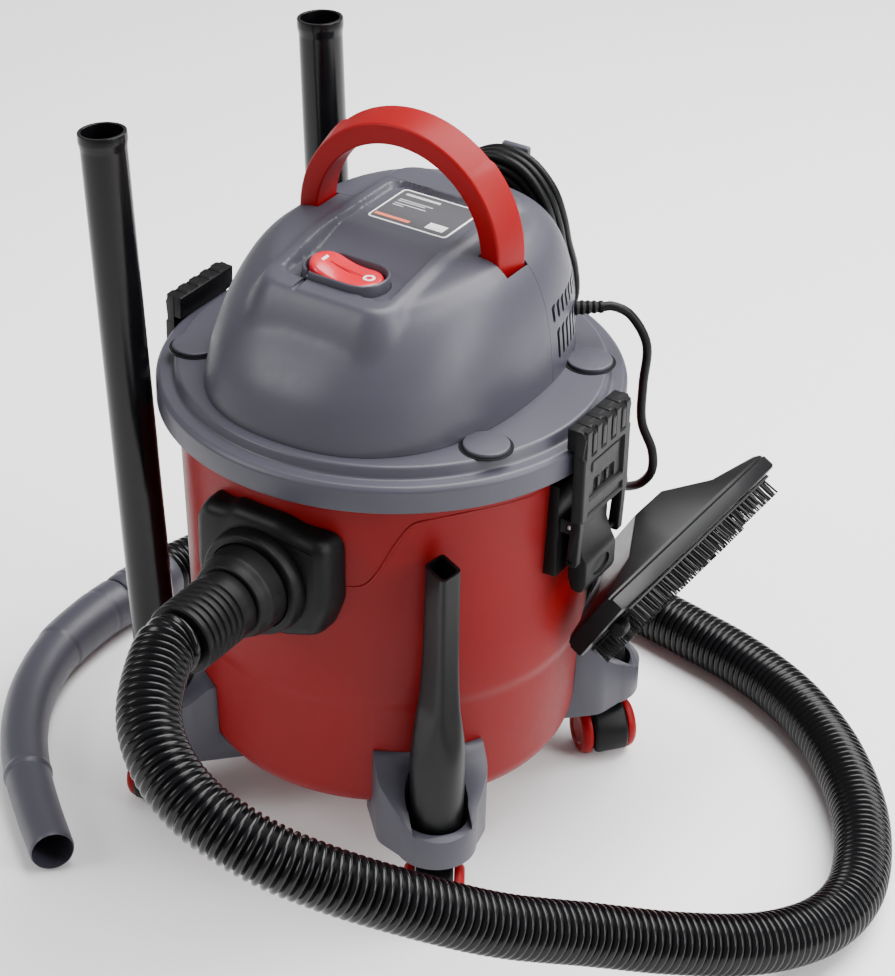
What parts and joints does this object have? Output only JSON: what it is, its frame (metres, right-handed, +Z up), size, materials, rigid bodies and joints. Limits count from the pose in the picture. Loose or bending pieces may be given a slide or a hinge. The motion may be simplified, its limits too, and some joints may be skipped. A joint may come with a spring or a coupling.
{
  "type": "wet and dry vacuum cleaner",
  "caption": "Wet-and-dry shop vacuum: round drum on casters, clamped-on motor head with arched handle, front hose, tubes and tools in its feet.",
  "frame": {"origin": "centre of the floor rectangle under the machine, measured without the hose and the power cord; floor at z = 0", "axes": "+Z up; the hose inlet faces -Y; +X is to the right seen from the front"},
  "size_m": [0.7235, 0.6823, 0.55],
  "materials": {
    "drum_red": "satin, fine grain",
    "handle_red": "satin",
    "slate_grey": "satin, fine grain",
    "matt_black": "satin",
    "gloss_black": "gloss",
    "bristle": "stiff synthetic bristle",
    "foam": "open-cell foam",
    "seal": "matt",
    "plate": "printed film",
    "steel": "brushed"
  },
  "bodies": {
    "machine": {"drum": "drum_red", "lid": "slate_grey", "lid_seal": "seal", "motor_housing": "matt_black", "float_cage": "matt_black", "filter_sleeve": "foam", "front_cover": "slate_grey", "rear_cover": "slate_grey", "carry_handle": "handle_red", "switch_body": "slate_grey", "rating_plate": "plate", "inlet_housing": "matt_black", "strain_relief": "matt_black", "power_cord": "matt_black", "cord_hank": "matt_black", "power_plug": "matt_black", "foot_front_right": "slate_grey", "foot_back_right": "slate_grey", "foot_back_left": "slate_grey", "foot_front_left": "slate_grey", "latch_bracket_right": "matt_black", "latch_bracket_left": "matt_black", "latch_pin_right": "steel", "latch_pin_left": "steel", "hose": "gloss_black", "hose_cuff": "matt_black", "handle_cuff": "slate_grey", "grip_handle": "slate_grey"},
    "fan": {"impeller": "steel"},
    "float": {"float_ball": "matt_black"},
    "rocker": {"switch_rocker": "handle_red"},
    "connector": {"hose_connector": "matt_black"},
    "lever_right": {"latch_lever_right": "matt_black"},
    "clasp_right": {"latch_clasp_right": "matt_black"},
    "lever_left": {"latch_lever_left": "matt_black"},
    "clasp_left": {"latch_clasp_left": "matt_black"},
    "caster_front_right": {"caster_hood_front_right": "matt_black"},
    "wheels_front_right": {"caster_axle_front_right": "steel", "caster_wheel_a_front_right": "handle_red", "caster_wheel_b_front_right": "handle_red"},
    "caster_back_right": {"caster_hood_back_right": "matt_black"},
    "wheels_back_right": {"caster_axle_back_right": "steel", "caster_wheel_a_back_right": "handle_red", "caster_wheel_b_back_right": "handle_red"},
    "caster_back_left": {"caster_hood_back_left": "matt_black"},
    "wheels_back_left": {"caster_axle_back_left": "steel", "caster_wheel_a_back_left": "handle_red", "caster_wheel_b_back_left": "handle_red"},
    "caster_front_left": {"caster_hood_front_left": "matt_black"},
    "wheels_front_left": {"caster_axle_front_left": "steel", "caster_wheel_a_front_left": "handle_red", "caster_wheel_b_front_left": "handle_red"},
    "tube_left": {"extension_tube_left": "gloss_black"},
    "tube_back": {"extension_tube_back": "gloss_black"},
    "crevice": {"crevice_tool": "matt_black"},
    "brush": {"brush_body": "matt_black", "bristle_strip_front": "bristle", "bristle_strip_rear": "bristle"},
    "roller_near": {"brush_roller_near": "matt_black"},
    "roller_far": {"brush_roller_far": "matt_black"}
  },
  "joints": [
    {"name": "fan_spin", "type": "hinge", "parent": "machine", "child": "fan", "pos_m": [0.0502, 0.0121, 0.3563], "axis": [0, 0, 1], "continuous": true},
    {"name": "float_rise", "type": "slide", "parent": "machine", "child": "float", "axis": [0, 0, 1], "range_m": [0, 0.078]},
    {"name": "switch_press", "type": "hinge", "parent": "machine", "child": "rocker", "pos_m": [0.0502, -0.0479, 0.456], "axis": [0, -1, 0], "range_deg": [0, 16]},
    {"name": "connector_twist", "type": "hinge", "parent": "machine", "child": "connector", "pos_m": [0.0502, -0.1929, 0.266], "axis": [0, -1, 0], "range_deg": [-30, 0]},
    {"name": "latch_lever_right_swing", "type": "hinge", "parent": "machine", "child": "lever_right", "pos_m": [0.2162, 0.0121, 0.292], "axis": [0, -1, 0], "range_deg": [0, 110]},
    {"name": "latch_clasp_right_lift", "type": "hinge", "parent": "lever_right", "child": "clasp_right", "pos_m": [0.2222, 0.0121, 0.27], "axis": [0, -1, 0], "range_deg": [-110, 0]},
    {"name": "latch_lever_left_swing", "type": "hinge", "parent": "machine", "child": "lever_left", "pos_m": [-0.1158, 0.0121, 0.292], "axis": [0, 1, 0], "range_deg": [0, 110]},
    {"name": "latch_clasp_left_lift", "type": "hinge", "parent": "lever_left", "child": "clasp_left", "pos_m": [-0.1218, 0.0121, 0.27], "axis": [0, 1, 0], "range_deg": [-110, 0]},
    {"name": "caster_front_right_swivel", "type": "hinge", "parent": "machine", "child": "caster_front_right", "pos_m": [0.17112, -0.10882, 0.0505], "axis": [0, 0, 1], "continuous": true},
    {"name": "caster_front_right_roll", "type": "hinge", "parent": "caster_front_right", "child": "wheels_front_right", "pos_m": [0.1773, -0.1191, 0.0205], "axis": [0.8572, 0.515, 0], "continuous": true},
    {"name": "caster_back_right_swivel", "type": "hinge", "parent": "machine", "child": "caster_back_right", "pos_m": [0.17112, 0.13302, 0.0505], "axis": [0, 0, 1], "continuous": true},
    {"name": "caster_back_right_roll", "type": "hinge", "parent": "caster_back_right", "child": "wheels_back_right", "pos_m": [0.18031, 0.1253, 0.0205], "axis": [0.6428, 0.766, 0], "continuous": true},
    {"name": "caster_back_left_swivel", "type": "hinge", "parent": "machine", "child": "caster_back_left", "pos_m": [-0.07072, 0.13302, 0.0505], "axis": [0, 0, 1], "continuous": true},
    {"name": "caster_back_left_roll", "type": "hinge", "parent": "caster_back_left", "child": "wheels_back_left", "pos_m": [-0.07672, 0.14341, 0.0205], "axis": [-0.866, -0.5, 0], "continuous": true},
    {"name": "caster_front_left_swivel", "type": "hinge", "parent": "machine", "child": "caster_front_left", "pos_m": [-0.07072, -0.10882, 0.0505], "axis": [0, 0, 1], "continuous": true},
    {"name": "caster_front_left_roll", "type": "hinge", "parent": "caster_front_left", "child": "wheels_front_left", "pos_m": [-0.06863, -0.12063, 0.0205], "axis": [0.9848, 0.1736, 0], "continuous": true},
    {"name": "tube_left_lift", "type": "slide", "parent": "machine", "child": "tube_left", "axis": [-0.083, 0.012, 0.9965], "range_m": [0, 0.08]},
    {"name": "tube_back_lift", "type": "slide", "parent": "machine", "child": "tube_back", "axis": [-0.062, 0.018, 0.9979], "range_m": [0, 0.08]},
    {"name": "crevice_lift", "type": "slide", "parent": "machine", "child": "crevice", "axis": [0, 0, 1], "range_m": [0, 0.03]},
    {"name": "brush_lift", "type": "slide", "parent": "machine", "child": "brush", "axis": [0, 0, 1], "range_m": [0, 0.012]},
    {"name": "brush_roller_near_spin", "type": "hinge", "parent": "brush", "child": "roller_near", "pos_m": [0.23819, 0.0301, 0.19083], "axis": [0, 1, 0], "continuous": true},
    {"name": "brush_roller_far_spin", "type": "hinge", "parent": "brush", "child": "roller_far", "pos_m": [0.23819, 0.2341, 0.19083], "axis": [0, 1, 0], "continuous": true}
  ],
  "couplings": [
    {"joint": "latch_clasp_right_lift", "follows": "latch_lever_right_swing", "ratio": -1},
    {"joint": "latch_clasp_left_lift", "follows": "latch_lever_left_swing", "ratio": -1}
  ]
}
